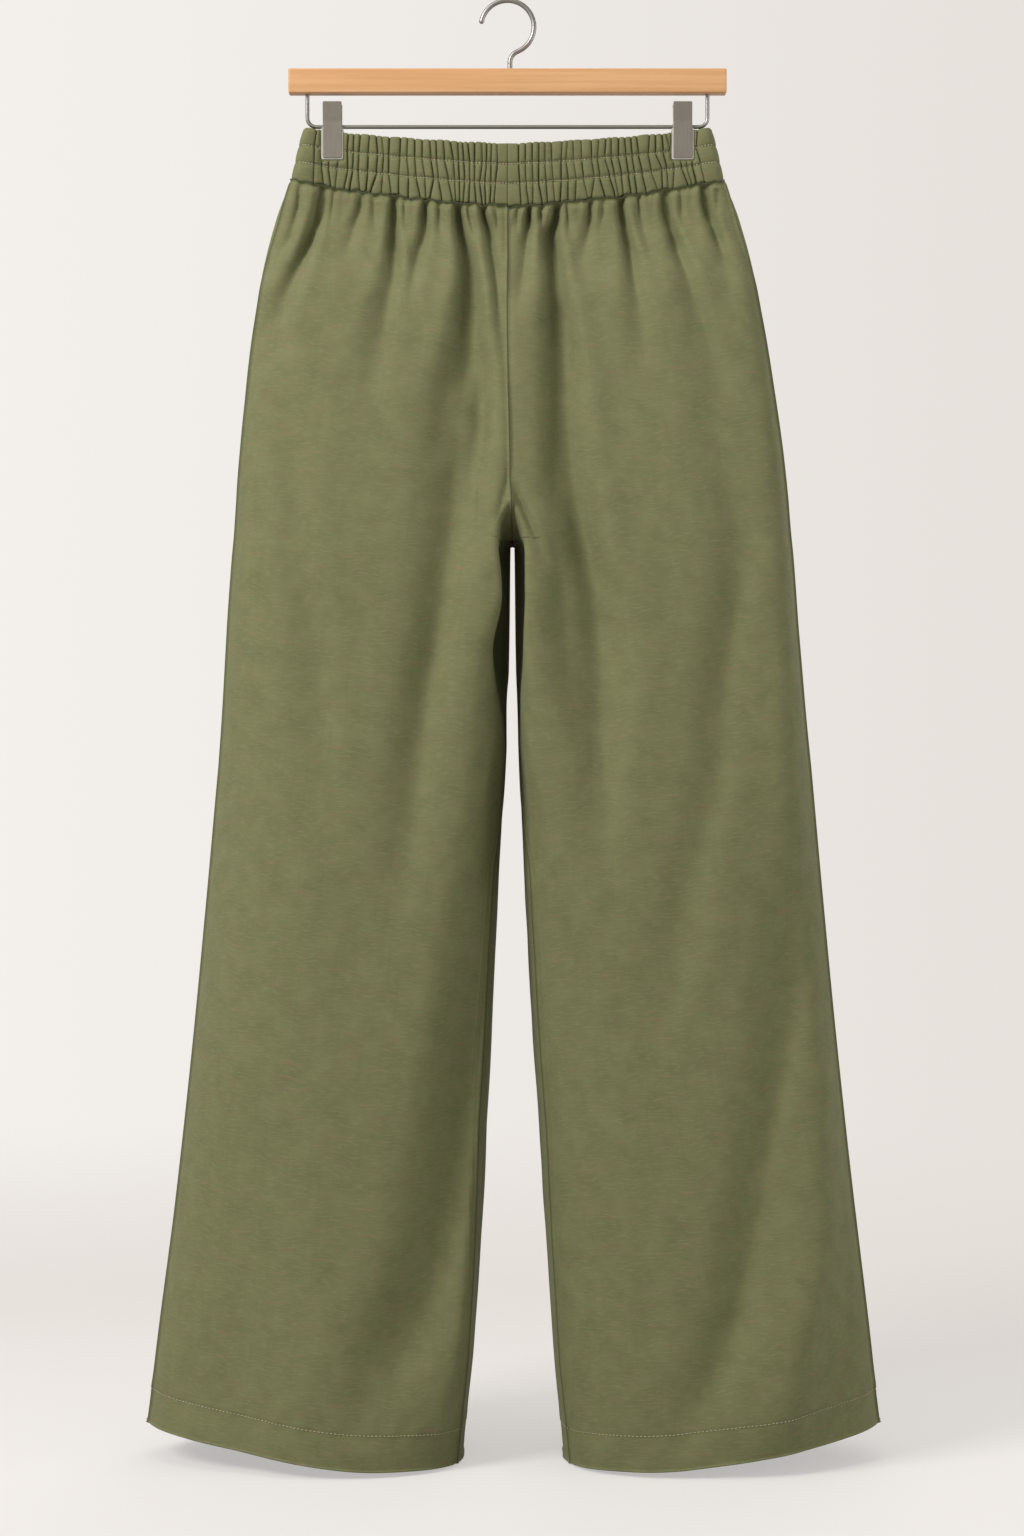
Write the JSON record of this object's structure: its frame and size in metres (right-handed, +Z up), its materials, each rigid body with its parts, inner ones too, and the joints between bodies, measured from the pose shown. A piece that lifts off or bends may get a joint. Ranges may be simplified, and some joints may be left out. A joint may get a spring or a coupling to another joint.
{
  "type": "palazzo pants on a clip hanger",
  "caption": "Wide-leg palazzo pants with a gathered elastic waistband, hanging by the band from a wooden clip hanger",
  "frame": {"origin": "inner top of the hook, where a rail carries the hanger, in the middle of the hook", "axes": "+Z up, the front of the garment faces -Y, +X to the right of someone who looks at the front"},
  "size_m": [0.59, 0.2017, 1.169],
  "materials": {
    "cloth": "olive plain-weave viscose and linen blend, soft drape, faint slubs along the weft, low sheen",
    "beech": "clear-lacquered beech with fine lengthwise grain",
    "wire": "bright drawn steel wire",
    "clip": "satin pressed steel, grey-brown"
  },
  "bodies": {
    "root": {"front_left": "cloth", "front_right": "cloth", "back_left": "cloth", "back_right": "cloth", "band_front_left": "cloth", "band_front_right": "cloth", "band_back_left": "cloth", "band_back_right": "cloth", "hanger_bar": "beech", "hanger_hook": "wire", "clip_wire": "wire", "clip_front_left": "clip", "clip_back_left": "clip", "clip_spring_left": "clip", "clip_front_right": "clip", "clip_back_right": "clip", "clip_spring_right": "clip"}
  },
  "joints": []
}
